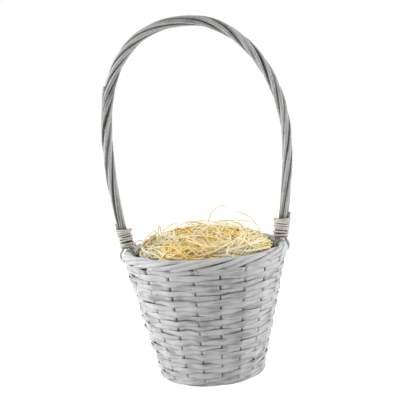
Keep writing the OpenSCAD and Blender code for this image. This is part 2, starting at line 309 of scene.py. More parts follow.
def willow(name, wash_colour, bare_and_shade_colour, grain, slit_shade_colour=None):
    """Washed willow: pale where the wash is thick and bare where it is thin, with grain along the rod.

    The wash stored on each point also carries painted shade, darker on the faces turned away and in the
    crevices.
    Where a slit colour is given and the stored wash is below nothing, the willow takes that colour, painted
    shade on the stakes in the slits of the weave.
    """
    if name in bpy.data.materials:
        return bpy.data.materials[name]
    material, shader, wire = new_material(name)
    along = wire.node("ShaderNodeTexCoord", out="UV")
    place = wire.node("ShaderNodeTexCoord", out="Object")
    lines = wire.noise(along, grain.lines, detail=2.0)
    fibres = wire.noise(along, grain.fibres, detail=1.0)
    patches = wire.noise(place, PATCH_SCALE, detail=3.0)
    streak = lines.step(*LINE_EDGE) * LINE_SHARE + fibres.step(*FIBRE_EDGE) * FIBRE_SHARE
    # The wash with its painted shade, broken by patches, grain and the rod's own tone
    cover_and_shade = wire.attribute("wash") * (WASH_LEAST + patches.step(*PATCH_EDGE) * WASH_MORE)
    cover_and_shade = cover_and_shade - streak * grain.streaks + (wire.attribute("tone") - TONE_MIDDLE) * TONE_SHARE
    bare_and_shade = rgba(bare_and_shade_colour)
    # Painted shade for the stakes in the slits of the weave
    if slit_shade_colour is not None:
        bare_and_shade = wire.mix(wire.attribute("wash").step(*SLIT_SHADE_EDGE), rgba(slit_shade_colour), bare_and_shade)
    feed(shader, WILLOW_SHINE,
         Base_Color=wire.mix(cover_and_shade.step(0.0, 1.0), bare_and_shade, rgba(wash_colour)),
         Roughness=WILLOW_ROUGH + streak * STREAK_ROUGH,
         Normal=wire.node("ShaderNodeBump", {"Height": lines, "Distance": grain.relief,
                                             "Strength": WILLOW_BUMP}))
    return material


def wall_willow(wall):
    # The stakes get painted shade in the slits of the weave
    return willow("washed_willow", wall.wash_colour, wall.bare_and_shade_colour, WALL_GRAIN, wall.stake_shade_colour)


def handle_willow(handle):
    return willow("washed_handle", handle.wash_colour, handle.bare_and_shade_colour, HANDLE_GRAIN)


def cane_finish(handle):
    return willow("split_cane", handle.cane_colour, handle.cane_dark, CANE_GRAIN)


STRAW_FIBRES, STRAW_PATCHES = (60, 3000, 1), (28, 28, 28)
STALK_TONE, FIBRE_TONE, PATCH_TONE = 0.8, 0.4, 1.6
RIPE_EDGE, DEEP_SHADE_EDGE = (0.0, 0.9), (0.0, 0.8)
STRAW_ROUGH, FIBRE_ROUGH = 0.5, 0.25
STRAW_SHINE = 0.3
# Where the straw is riper, and where painted shade darkens it by the left foot: place, reach from full to
# nothing, and share
RIPE_SPOT = ((-0.018, -0.078, 0.166), (0.015, 0.055), 0.34)
LEFT_SHADE_SPOT = ((-0.066, -0.044, 0.168), (0.01, 0.05), 0.6)


def straw_finish(settings):
    """Straw: each stalk has its own tone, with painted shade: the deep colour on the bed and on the stalks
    that lie low on it, and the dull colour by the left foot.
    """
    material, shader, wire = new_material("dry_straw")
    along = wire.node("ShaderNodeTexCoord", out="UV")
    place = wire.node("ShaderNodeTexCoord", out="Object")
    fibre = wire.noise(along, STRAW_FIBRES, detail=2.0)
    patches = wire.noise(place, STRAW_PATCHES, detail=1.0)
    tone = wire.attribute("tone") * STALK_TONE + (fibre - TONE_MIDDLE) * FIBRE_TONE
    tone = tone + (patches - TONE_MIDDLE) * PATCH_TONE + wire.near(place, *RIPE_SPOT)
    stalk = wire.mix(tone.step(*RIPE_EDGE), rgba(settings.pale_colour), rgba(settings.ripe_colour))
    # Painted shade on the straw by the left foot
    stalk = wire.mix(wire.near(place, *LEFT_SHADE_SPOT), stalk, rgba(settings.left_shade_colour))
    # Painted shade: the bed and the low stalks blend to the deep colour
    feed(shader, STRAW_SHINE,
         Base_Color=wire.mix(wire.attribute("wash").step(*DEEP_SHADE_EDGE), rgba(settings.deep_shade_colour), stalk),
         Roughness=STRAW_ROUGH + fibre * FIBRE_ROUGH)
    return material


# Rods and skins

TINY = 1e-12
WELD = 1e-6
SMOOTH_UNDER = math.radians(50)
CORNER_CUT = 0.25


def unit(vectors):
    """Directions of vectors, each one long."""
    return vectors / np.maximum(np.linalg.norm(vectors, axis=-1), TINY)[..., None]


def tangents(path, closed):
    """Directions along a path."""
    return unit(np.roll(path, -1, 0) - np.roll(path, 1, 0) if closed else np.gradient(path, axis=0))


def squared(vectors, along):
    """Direction of the part of each vector that is square to the direction beside it."""
    return unit(vectors - np.sum(vectors * along, -1)[..., None] * along)


def carried(along, first):
    """A side direction carried along a path without twisting."""
    sides = [np.asarray(first, float)]
    for direction in along:
        sides.append(squared(sides[-1], direction))
    return np.array(sides[1:])


def run_along(path):
    """Length of a path up to each of its points."""
    return np.concatenate([[0], np.cumsum(np.linalg.norm(np.diff(path, axis=0), axis=1))])


def spaced(path, step, least=4):
    """The same open path with evenly spaced points."""
    run = run_along(path)
    at = np.linspace(0, run[-1], max(least, int(run[-1] / step) + 1))
    return np.stack([np.interp(at, run, path[:, axis]) for axis in range(3)], 1)


def rounded(path, step, passes=3):
    """An open path with its corners cut round, evenly spaced."""
    path = np.asarray(path, float)
    for _ in range(passes):
        near = (1 - CORNER_CUT) * path[:-1] + CORNER_CUT * path[1:]
        far = CORNER_CUT * path[:-1] + (1 - CORNER_CUT) * path[1:]
        middle = np.stack([near, far], 1).reshape(-1, 3)
        path = np.concatenate([path[:1], middle, path[-1:]])
    return spaced(path, step)


def smooth(value, low=0.0, high=1.0):
    """Rises smoothly from 0 at low to 1 at high."""
    share = np.clip((value - low) / (high - low), 0, 1)
    return share * share * (3 - 2 * share)


def eased(values, at):
    """Values between knots, which ease in and out of each one."""
    low = np.minimum(at.astype(int), len(values) - 2)
    blend = smooth(at - low)
    return values[low] * (1 - blend) + values[low + 1] * blend


def wander(rng, stations, knots, spread, closed=False):
    """Smooth random offsets along a rod, with a new value at every knot."""
    values = rng.normal(0, spread, knots + 1)
    if closed:
        values[-1] = values[0]
    return eased(values, np.linspace(0, knots, stations, endpoint=not closed))


def around(stations):
    """Angles evenly round a circle."""
    return np.linspace(0, math.tau, stations, endpoint=False)


def polar(radius, azimuth, z):
    """Points given by radius, angle from +X and height."""
    radius, azimuth, z = np.broadcast_arrays(radius, azimuth, z)
    return np.stack([radius * np.cos(azimuth), radius * np.sin(azimuth), z], -1)


def bezier(first, corner, last, steps):
    """Points of a round corner."""
    t = np.linspace(0, 1, steps)[:, None]
    return (1 - t) ** 2 * first + 2 * t * (1 - t) * corner + t ** 2 * last


def only(piece):
    """Selects one object alone."""
    bpy.ops.object.select_all(action="DESELECT")
    piece.select_set(True)
    bpy.context.view_layer.objects.active = piece


def close_up(piece, weld):
    """Welds a mesh where asked, and turns its faces outwards."""
    only(piece)
    bpy.ops.object.mode_set(mode="EDIT")
    bpy.ops.mesh.select_all(action="SELECT")
    if weld:
        bpy.ops.mesh.remove_doubles(threshold=WELD)
    bpy.ops.mesh.normals_make_consistent(inside=False)
    bpy.ops.object.mode_set(mode="OBJECT")


def store(mesh, **values):
    """Stores values on a mesh's points, each under its name."""
    for key, value in values.items():
        stored = mesh.attributes.new(key, "FLOAT", "POINT")
        stored.data.foreach_set("value", value.astype(np.float32))


def skin(name, points, run, girth, shift=(0.0, 0.0), **values):
    """A grid laid over points [ring, side], with its edges welded, as a new object.

    run is the length along the rings and girth the length round them, for the grain; each of the
    values is stored on the points under its name.
    """
    rings, columns = points.shape[:2]
    bpy.ops.object.select_all(action="DESELECT")
    bpy.ops.mesh.primitive_grid_add(x_subdivisions=rings - 1, y_subdivisions=columns - 1, size=1)
    made = bpy.context.object
    made.name = made.data.name = name
    mesh = made.data
    flat = np.empty(3 * len(mesh.vertices), np.float32)
    mesh.vertices.foreach_get("co", flat)
    ring = np.rint((flat[0::3] + 0.5) * (rings - 1)).astype(int)
    column = np.rint((flat[1::3] + 0.5) * (columns - 1)).astype(int)
    mesh.vertices.foreach_set("co", points[ring, column].astype(np.float32).ravel())
    store(mesh, **{key: value[ring, column] for key, value in values.items()})
    uv = np.empty(2 * len(mesh.loops), np.float32)
    mesh.uv_layers.active.data.foreach_get("uv", uv)
    on_ring = np.rint(uv[0::2] * (rings - 1)).astype(int)
    uv[0::2] = run[on_ring] + shift[0]
    uv[1::2] = uv[1::2] * girth + shift[1]
    mesh.uv_layers.active.data.foreach_set("uv", uv)
    close_up(made, weld=True)
    bpy.ops.object.shade_smooth_by_angle(angle=SMOOTH_UNDER)
    return made


# A rod's cut ends: their edge, as a share of its girth, and how far they bulge for its thickness
END_EDGE, END_BULGE = 0.88, 0.12
# How much the tone differs between rods and along one, with its least knots and the stations of a knot
ROD_TONE, TONE_WANDER, TONE_KNOTS, TONE_STATIONS = 0.16, 0.11, 3, 11
GRAIN_SHIFT = 4


def lay_rod(name, path, across, wide, thick, rng, closed=False, sides=10, full=2.2, wash=1.0):
    """Lays a willow rod along a path and returns its object.

    across is the direction of the rod's width, for each point or carried from the first one. Its wash is how
    washed the rod is, or a function that takes how far each side faces away from the rod's flat and adds
    painted shade, lighter or darker by the way each side faces.
    """
    along = tangents(path, closed)
    across = squared(across, along) if np.ndim(across) == 2 else carried(along, across)
    level = np.cross(along, across)
    wide = np.broadcast_to(wide, len(path)).astype(float)
    thick = np.broadcast_to(thick, len(path)).astype(float)
    turn = np.linspace(0, math.tau, sides + 1)
    flat = np.sign(np.cos(turn)) * np.abs(np.cos(turn)) ** (2 / full)
    facing = np.sign(np.sin(turn)) * np.abs(np.sin(turn)) ** (2 / full)
    flat[-1], facing[-1] = flat[0], facing[0]
    offset = (wide[:, None, None] / 2 * flat[None, :, None] * across[:, None]
              + thick[:, None, None] / 2 * facing[None, :, None] * level[:, None])
    points = path[:, None] + offset
    # The wash of each point, with painted shade on the sides where a function gives it
    cover_and_shade = np.broadcast_to(wash(facing[None, :]) if callable(wash) else wash, points.shape[:2])
    knots = max(TONE_KNOTS, len(path) // TONE_STATIONS)
    tone = TONE_MIDDLE + rng.normal(0, ROD_TONE) + wander(rng, len(path), knots, TONE_WANDER, closed)
    tone = np.broadcast_to(tone[:, None], points.shape[:2])
    if closed:
        points, cover_and_shade, tone = (np.concatenate([each, each[:1]]) for each in (points, cover_and_shade, tone))
    else:
        head = path[0] - END_BULGE * thick[0] * along[0]
        tail = path[-1] + END_BULGE * thick[-1] * along[-1]
        points = np.concatenate([
            [head + 0 * offset[0], head + END_EDGE * offset[0]], points,
            [tail + END_EDGE * offset[-1], tail + 0 * offset[-1]]])
        cover_and_shade, tone = (np.pad(each, ((2, 2), (0, 0)), "edge") for each in (cover_and_shade, tone))
    run = run_along(points[:, :-1].mean(1))
    girth = math.pi * (wide.mean() + thick.mean()) / 2
    return skin(name, points, run, girth, rng.uniform(0, GRAIN_SHIFT, 2), wash=cover_and_shade, tone=tone)


def join(name, pieces):
    """Joins objects into one."""
    only(pieces[0])
    for piece in pieces:
        piece.select_set(True)
    if len(pieces) > 1:
        bpy.ops.object.join()
    pieces[0].name = pieces[0].data.name = name
    return pieces[0]


def dress(piece, material, body, slot, *nodes):
    """Gives a piece its finish, and puts it in the place of its solids."""
    piece.data.materials.clear()
    piece.data.materials.append(material)
    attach(piece, body)
    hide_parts(*nodes)


# Base: sticks opened out to spokes, and rings of weave over and under them

STICK_END = 0.005
STICK_ROOM = 1.04
STICK_OPENS = 2.2
STICK_STEP = 0.003
STICK_WASH = 0.45
RING_SHORT = 0.0063
RING_STEP = 0.0063
RING_LEAST = 0.019
RING_STATIONS = 12
RING_WANDER = 0.0003
RING_WIDE, RING_THICK = 1.62, 0.85
# Painted shade on a ring: its upper and lower faces are lighter or darker by whether it lies over or under a
# spoke
RING_WASH, RING_SHADE = 0.5, 0.3


class BASKET_OT_base(bpy.types.Operator):
    """Lays the base sticks and weaves the rings between them"""
    bl_idname = "basket.base"
    bl_label = "Base"

    def execute(self, context):
        wall = context.scene.basket_wall
        material = wall_willow(wall)
        spokes = 2 * (len(SPLIT_NODES) + len(CROSS_NODES))
        low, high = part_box(SPLIT_NODES[1])
        split_thick = high.y - low.y
        low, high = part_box(CROSS_NODES[0])
        cross_thick = high.z - low.z
        for kind, nodes, thick, turned in (("split_stick", SPLIT_NODES, split_thick, 0),
                                           ("cross_stick", CROSS_NODES, cross_thick, math.pi / 2)):
            for i, node in enumerate(nodes):
                path = self.stick(i - (len(nodes) - 1) / 2, thick, turned, math.tau / spokes)
                made = lay_rod(node + "_willow", path, (0, 0, 1), thick, thick, chance(kind, 2 * i),
                               wash=STICK_WASH)
                dress(made, material, "basket", "base_willow", node)
        swing = (split_thick + wall.base_weaver) / 2
        radius = BASE_R - RING_SHORT
        rings = []
        while radius > RING_LEAST:
            rings.append(self.ring(len(rings), radius, swing, spokes, wall.base_weaver))
            radius -= RING_STEP
        dress(join("base_weave_willow", rings), material, "basket", "base_willow", "base_weave")
        return {"FINISHED"}

    def stick(self, place, thick, turned, spoke_pitch):
        """Path of a stick: side by side with the others in the middle, then out as two spokes."""
        beside = place * thick * STICK_ROOM
        opens = thick * STICK_OPENS
        reach = BASE_R - STICK_END
        path = [polar(reach, math.pi - place * spoke_pitch, BASE_H), (-opens, beside, BASE_H),
                (opens, beside, BASE_H), polar(reach, place * spoke_pitch, BASE_H)]
        cos, sin = math.cos(turned), math.sin(turned)
        return rounded(path, STICK_STEP) @ np.array([[cos, sin, 0], [-sin, cos, 0], [0, 0, 1]])

    def ring(self, i, radius, swing, spokes, thick):
        """One ring of weave, over a spoke and under the next."""
        rng = chance("base_ring", i)
        azimuth = around(RING_STATIONS * spokes)
        over = (1 if i % 2 else -1) * np.cos(azimuth * spokes / 2)
        radius = radius + wander(rng, len(azimuth), spokes, RING_WANDER, True)
        path = polar(radius, azimuth, BASE_H + swing * over)
        across = polar(1.0, azimuth, 0.0)
        return lay_rod(f"base_ring_{i}", path, across, thick * RING_WIDE, thick * RING_THICK, rng,
                       closed=True, sides=8, wash=lambda s: RING_WASH + RING_SHADE * over[:, None] * s)


# Wall: stakes that end in the rolled border, and rows of flat weavers between them

BUTT_IN = 0.0175
KNEE, KNEE_OUT, KNEE_STEPS = 0.0044, 0.3, 7
RISER_FROM, RISER_TO, RISER_STATIONS = 0.008, 0.006, 14
BORDER_FROM, BORDER_TO, BORDER_STATIONS = 0.06, 0.9, 40
BORDER_RODS = 5
BORDER_BEND = 8
BORDER_UNEVEN = 0.08
BORDER_TAPER = 0.0007
BORDER_WASH = 1.2
BORDER_ROOM = 0.0085
# Stations over which a stake grows stout, and how many of them lie before the bend
GROWN_OVER, GROWN_BEFORE = 8, 2
# The border is drawn in under the eyes
EYE_PINCH, EYE_PINCH_REACH = 0.34, 0.010
# Wash of a stake in the wall, one chosen at random: values below nothing are painted shade, near black in the
# slits, and 0.6 is washed
STAKE_WASHES_AND_SHADES = (-1.0, -1.0, -0.7, 0.6)
# Painted shade along a stake: one side up to a fifth darker than the other
STAKE_SHADE = 0.1
# Knots and spread of what wanders along a stake
RISER_SWAY = (4, 0.004)
BORDER_TURN_SWAY = (5, 0.17)
BORDER_LAY_SWAY = (5, 0.0006)


class BASKET_OT_stakes(bpy.types.Operator):
    """Stands the stakes in the base and lays their tops round each other as the border"""
    bl_idname = "basket.stakes"
    bl_label = "Stakes and border"

    def execute(self, context):
        wall = context.scene.basket_wall
        for i, node in enumerate(STAKE_NODES):
            made = self.stake(node + "_willow", (i + 0.5) * STAKE_PITCH, wall, chance("stake", i))
            dress(made, wall_willow(wall), "basket", "wall_willow", node)
        return {"FINISHED"}

    def stake(self, name, azimuth, wall, rng):
        """One stake: its butt in the base, its knee, its riser and its stretch of the border."""
        out = wall.stroke_out
        corner = polar(BASE_R, azimuth, BASE_H)
        knee_in = polar(BASE_R - KNEE, azimuth, BASE_H)
        knee_z = BASE_H + KNEE * math.cos(LEAN)
        knee_out = polar(wall_radius(knee_z) + KNEE_OUT * out, azimuth, knee_z)
        heights = np.linspace(knee_z + RISER_FROM, RIM_H - wall.border_lay - RISER_TO, RISER_STATIONS)
        riser = polar(wall_radius(heights) + out, azimuth + wander(rng, RISER_STATIONS, *RISER_SWAY), heights)
        share = np.linspace(BORDER_FROM, BORDER_TO, BORDER_STATIONS)
        phase = math.tau * share - math.pi / 2 + wander(rng, BORDER_STATIONS, *BORDER_TURN_SWAY)
        lay = wall.border_lay + wander(rng, BORDER_STATIONS, *BORDER_LAY_SWAY)
        round_at = azimuth + share * BORDER_RODS * STAKE_PITCH
        lay = lay * (1 - EYE_PINCH * np.exp(-(np.sin(round_at) * RIM_R / EYE_PINCH_REACH) ** 2))
        border_r = RIM_R + wall.border_out
        rope = polar(border_r + lay * np.cos(phase), round_at, RIM_H + lay * np.sin(phase))
        under = polar(border_r, azimuth, RIM_H - wall.border_lay)
        bend = bezier(riser[-1], under, rope[0], BORDER_BEND)[1:-1]
        path = np.concatenate([polar(np.array([BASE_R - BUTT_IN, BASE_R - 2 * KNEE]), azimuth, BASE_H),
                               bezier(knee_in, corner, knee_out, KNEE_STEPS), riser, bend, rope])
        in_rope = np.arange(len(path)) - (len(path) - len(rope) - len(bend))
        grown = np.clip((in_rope + GROWN_BEFORE) / GROWN_OVER, 0, 1)
        taper = np.clip(in_rope / len(rope), 0, 1)
        border_thick = wall.border_thick * rng.uniform(1 - BORDER_UNEVEN, 1 + BORDER_UNEVEN)
        thick = wall.stake_thick + (border_thick - wall.stake_thick) * grown - BORDER_TAPER * taper
        wash = rng.choice(STAKE_WASHES_AND_SHADES) * (1 - grown) + BORDER_WASH * grown
        return lay_rod(name, path, (0, 0, 1), thick, thick, rng, sides=12,
                       wash=lambda s: wash[:, None] * (1 - STAKE_SHADE + STAKE_SHADE * s))


# Stations of a weaver from one stake to the next, close together where it dips behind a stake
ROW_SPACING = (0, 0.014, 0.024, 0.035, 0.046, 0.057, 0.068, 0.08, 0.18, 0.35, 0.5, 0.65, 0.8)
DIP_FROM, DIP_TO = 0.014, 0.08
ROW_RISE = 0.0016
DRIFT, DRIFT_KEPT = 0.0003, 0.85
BULGE = 0.0011
TALL_WANDER, THICK_WANDER, OUT_WANDER, TWIST_WANDER = 0.05, 0.07, 0.0006, 0.13
NOTCH_WIDE, NOTCH_SQUARE, NOTCH_GAP = 2.4, 4, 0.0004
ROW_FULL = 2.5
# Painted shade on a weaver: its edges and inner face keep the lower wash, and its outer face rises to the
# full wash
ROW_WASH, ROW_FACE_SHADE, ROW_FADE = 0.6, 0.4, 1.6


def drifts(rng, rows, knots):
    """Heights by which the rows stray, each row much like the row below it."""
    values = [np.zeros(knots)]
    for _ in range(rows):
        values.append(DRIFT_KEPT * values[-1] + rng.normal(0, DRIFT, knots))
    return [np.append(each, each[0]) for each in values]


def weave(name, i, size, rise, wall, rng, drift, eye=None):
    """Weaves one row: flush strokes outside every second stake, with a dip behind each stake between.

    eye is the height under which a row stays at the eyes, and how thick they are.
    """
    radius, low, high = size
    half = np.array(ROW_SPACING)
    spacing = np.concatenate([half, [1], 2 - half[:0:-1]])
    place = (2 * np.arange(STAKES // 2)[:, None] + spacing + (i + 1) % 2).ravel()
    stations = len(place)
    azimuth = (place + 0.5) * STAKE_PITCH
    beside = np.tile(1 - np.abs(spacing - 1), STAKES // 2)
    stroke = 2 * smooth(beside, DIP_FROM, DIP_TO) - 1
    swing = (wall.stake_thick + wall.weaver_thick) / 2
    over = (1 - np.cos(math.pi * beside)) / 2
    tall = wall.weaver_half + (wall.weaver_full - wall.weaver_half) * over
    tall = tall * (1 + wander(rng, stations, 2 * STAKES, TALL_WANDER, True))
    z = (low + high) / 2 + rise + eased(drift, place % STAKES * (len(drift) - 1) / STAKES)
    thick = wall.weaver_thick * (1 + wander(rng, stations, 2 * STAKES, THICK_WANDER, True))
    off = wall.stroke_out + swing * stroke + BULGE * over ** 2
    off = off + wander(rng, stations, STAKES, OUT_WANDER, True)
    if eye is not None and high > eye[0]:
        eye_z, eye_thick = eye
        squeeze = np.exp(-(np.sin(azimuth) * RIM_R / (NOTCH_WIDE * eye_thick)) ** NOTCH_SQUARE)
        room = eye_z - low - NOTCH_GAP
        tall = tall * (1 - squeeze) + room * squeeze
        z = z * (1 - squeeze) + (low + room / 2) * squeeze
    lean = LEAN + wander(rng, stations, STAKES, TWIST_WANDER, True)
    across = polar(np.sin(lean), azimuth, np.cos(lean))
    chord = math.cos(STAKE_PITCH / 2) / np.cos((place % 1 - 0.5) * STAKE_PITCH)
    # The weaver, with painted shade on its edges and inner face
    return lay_rod(name, polar((radius + off) * chord, azimuth, z), across, tall, thick, rng, closed=True,
                   sides=12, full=ROW_FULL, wash=lambda s: ROW_WASH + ROW_FACE_SHADE * np.clip(s, 0, 1) ** ROW_FADE)


class BASKET_OT_rows(bpy.types.Operator):
    """Weaves the rows of the wall, outside one stake and inside the next"""
    bl_idname = "basket.rows"
    bl_label = "Rows of weaving"

    def execute(self, context):
        wall = context.scene.basket_wall
        eye_low, eye_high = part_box("right_eye")
        eye = eye_low.z, eye_high.y - eye_low.y
        drift = drifts(chance("drift"), len(ROWS), 2 * STAKES)
        for i, node in enumerate(ROW_NODES):
            rise = ROW_RISE * (i + 1) / len(ROWS)
            made = weave(node + "_willow", i, ROWS[i], rise, wall, chance("row", i), drift[i + 1], eye)
            dress(made, wall_willow(wall), "basket", "wall_willow", node)
        return {"FINISHED"}


BACK_STATIONS, BACK_HIGH, BACK_DROP = 120, 0.0075, 0.001
WALE_RODS = 3
WALE_TURNS = 3
WALE_STATIONS = 240
WALE_OVERLAP = 0.0018
WALE_WIDE = 1.15
# Painted shade on a wale rod: full wash on its outer faces, darker on the faces turned into the twist
WALE_WASH, WALE_SHADE = 0.65, -0.35
# Knots and spread of what wanders along a rod of the wale
WALE_TURN_SWAY = (16, 0.12)
WALE_WIDE_SWAY = (20, 0.06)


class BASKET_OT_wale(bpy.types.Operator):
    """Weaves the foot wale: one more row, and the twisted rods that the basket stands on"""
    bl_idname = "basket.wale"
    bl_label = "Foot wale"

    def execute(self, context):
        wall = context.scene.basket_wall
        thick = wall.wale_thick
        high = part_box("foot_wale")[1]
        row_high = ROWS[0][2] - ROWS[0][1]
        row_low = high.z - row_high
        middle = row_low + row_high / 2
        size = wall_radius(middle), row_low, high.z
        back = polar(BASE_R + thick / 2, around(BACK_STATIONS), middle - BACK_DROP)
        rods = [weave("wale_row", -1, size, 0, wall, chance("wale_row"), np.zeros(STAKES + 1)),
                lay_rod("wale_back", back, (0, 0, 1), BACK_HIGH, thick, chance("wale_back"), closed=True)]
        lay = (row_low + WALE_OVERLAP - thick) / 2
        middle_r = high.x - lay - thick / 2
        azimuth = around(WALE_STATIONS)
        for i in range(WALE_RODS):
            rng = chance("wale_rod", i)
            phase = azimuth * WALE_TURNS + math.tau * i / WALE_RODS
            phase = phase + wander(rng, WALE_STATIONS, *WALE_TURN_SWAY, True)
            path = polar(middle_r + lay * np.cos(phase), azimuth, lay + thick / 2 + lay * np.sin(phase))
            across = np.cross(tangents(path, True), polar(np.cos(phase), azimuth, np.sin(phase)))
            wide = thick * (WALE_WIDE + wander(rng, WALE_STATIONS, *WALE_WIDE_SWAY, True))
            rods.append(lay_rod(f"wale_rod_{i}", path, across, wide, thick, rng, closed=True,
                                wash=lambda s: WALE_WASH + WALE_SHADE * s))
        dress(join("foot_wale_willow", rods), wall_willow(wall), "basket", "base_willow", "foot_wale")
        return {"FINISHED"}


# Handle: twisted bow, eyes round the border and bindings

# How fast the strands turn along the bow, as shares of the even lay
LAY_AT = (0.0, 0.06, 0.16, 0.3, 0.4, 0.47, 0.54, 0.7, 0.85, 0.95, 1.0)
LAY_RATE = (0.1, 0.2, 0.65, 0.9, 0.8, 0.35, 0.7, 0.85, 0.6, 0.2, 0.1)
BOW_STEP = 0.003
LEG_STATIONS, SHOULDER_STATIONS = 40, 80
# The bow is narrow at its feet, up to one share of its length, and full from another
FOOT_NARROW, NARROW_TO, FULL_FROM = 0.78, 0.04, 0.12
FOOT_CLEAR = 0.002
STRAND_IN = 0.0003
# Painted shade on a strand: full wash on its outer face, falling to none, the bare colour, on the faces
# turned in between the strands
STRAND_WASH, STRAND_SHADE, STRAND_MOST = 0.55, 0.65, 1.1
# Painted shade: under a binding, where the cane shades them, the strands have little wash
BOUND_FADE, BOUND_TOP, BOUND_SHADE = 0.004, 0.001, 0.1
SPLICE_LOW, SPLICE_HIGH = 0.315, 0.371
SPLICE_FRONT, SPLICE_THIN = 0.0015, 0.8
EYE_STOUTER = 0.35
EYE_PROUD = 0.2
# Knots and spread of what wanders along a strand
STRAND_TURN_SWAY = (9, 0.13)
STRAND_REACH_SWAY = (10, 0.00025)
STRAND_WIDE_SWAY = (12, 0.06)
STRAND_THICK_SWAY = (12, 0.05)


def leg_x(z, handle):
    """Distance of a leg of the bow from the middle, at a height below its widest place."""
    half = CORE_HIGH.x - CORE_R
    belly = RIM_H + handle.belly
    bulge = (half - RIM_R - handle.foot_out) / (belly - CORE_LOW.z) ** 2
    return half - bulge * (belly - z) ** 2


def half_bow(handle, full):
    """One side of the bow from its foot to the crown, as distances from the middle and heights."""
    belly = RIM_H + handle.belly
    z = np.linspace(CORE_LOW.z + FOOT_CLEAR, belly, LEG_STATIONS)
    turn = np.linspace(0, math.pi / 2, SHOULDER_STATIONS)[1:]
    shoulder = np.stack([(CORE_HIGH.x - CORE_R) * np.maximum(np.cos(turn), 0) ** (2 / full),
                         belly + (CORE_HIGH.z - CORE_R - belly) * np.sin(turn) ** (2 / full)], 1)
    return np.concatenate([np.stack([leg_x(z, handle), z], 1), shoulder])


def bow_line(handle):
    """Middle line of the bow, from its left foot over the crown to its right foot."""
    left = half_bow(handle, handle.left_full) * (-1, 1)
    right = half_bow(handle, handle.right_full)[-2::-1]
    line = np.concatenate([left, right])
    return spaced(np.stack([line[:, 0], np.zeros(len(line)), line[:, 1]], 1), BOW_STEP)


def strand_reach(handle):
    """Radius on which the strands lie round the bow's middle line."""
    beside = handle.strand_wide / 2 / math.sin(math.pi / len(STRAND_NODES))
    return max(CORE_R + handle.strand_thick / 2, beside)


def foot_reach(handle):
    """How far the bow reaches from its middle line at its feet."""
    return strand_reach(handle) * FOOT_NARROW + handle.strand_thick / 2


def eye_size(handle, side):
    """Thickness of an eye, which is stouter on the right, and its legs' distance from the bow's line."""
    thick = handle.eye_thick * (1 + EYE_STOUTER * (side > 0))
    return thick, foot_reach(handle) + EYE_PROUD * thick


class BASKET_OT_bow(bpy.types.Operator):
    """Twists the strands of the bow round their core"""
    bl_idname = "basket.bow"
    bl_label = "Bow"

    def execute(self, context):
        handle = context.scene.basket_handle
        material = handle_willow(handle)
        line = bow_line(handle)
        stations = len(line)
        along = tangents(line, False)
        out = np.stack([-along[:, 2], np.zeros(stations), along[:, 0]], 1)
        side = np.cross(along, out)
        share = np.linspace(0, 1, stations)
        turned = np.cumsum(np.interp(share, LAY_AT, LAY_RATE)) * BOW_STEP / handle.strand_lay * math.tau
        lay = strand_reach(handle)
        squeeze = np.interp(np.minimum(share, 1 - share), (NARROW_TO, FULL_FROM), (FOOT_NARROW, 1))
        low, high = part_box("left_binding")
        bound = (low.z, low.z + BOUND_FADE, high.z - BOUND_TOP, high.z + BOUND_FADE)
        # Painted shade on the strands under the bindings
        out_of_binding_shade = np.interp(line[:, 2], bound, (1, BOUND_SHADE, BOUND_SHADE, 1))[:, None]
        for i, node in enumerate(STRAND_NODES):
            rng = chance("strand", i)
            phase = turned + math.tau * i / len(STRAND_NODES) + wander(rng, stations, *STRAND_TURN_SWAY)
            facing = np.cos(phase)[:, None] * out + np.sin(phase)[:, None] * side
            reach = lay * squeeze + wander(rng, stations, *STRAND_REACH_SWAY) - STRAND_IN
            wide = handle.strand_wide * squeeze * (1 + wander(rng, stations, *STRAND_WIDE_SWAY))
            thick = handle.strand_thick * (1 + wander(rng, stations, *STRAND_THICK_SWAY))
            path = line + reach[:, None] * facing
            made = lay_rod(node + "_willow", path, np.cross(facing, along), wide, thick, rng, sides=12,
                           wash=lambda s: np.clip(STRAND_WASH + STRAND_SHADE * s, 0, STRAND_MOST) * out_of_binding_shade)
            if i == 0:
                made = join(made.name, [made, self.splice(line, out, side, lay, handle, rng)])
            dress(made, material, "handle", "handle_willow", node)
        NODES["bow_core"].data.materials.clear()
        NODES["bow_core"].data.materials.append(material)
        return {"FINISHED"}

    def splice(self, line, out, side, lay, handle, rng):
        """End of a strand that stands proud of the left shoulder."""
        here = (line[:, 0] < 0) & (line[:, 2] > SPLICE_LOW) & (line[:, 2] < SPLICE_HIGH)
        lifted = np.linspace(-0.5, 0.5, here.sum())[:, None] * handle.strand_thick
        path = line[here] + (lay + lifted) * out[here] - np.array([0, SPLICE_FRONT, 0])
        return lay_rod("spliced_end", path, side[here], SPLICE_THIN * handle.strand_wide,
                       SPLICE_THIN * handle.strand_thick, rng, sides=12)


EYE_TIP = 0.003
EYE_FROM, EYE_TO, EYE_STATIONS = math.radians(15), math.radians(-255), 30
EYE_LEG_STATIONS = 5
EYE_STEP = 0.002
EYE_WASH = 1.1
TIP_LEAN = 0.004


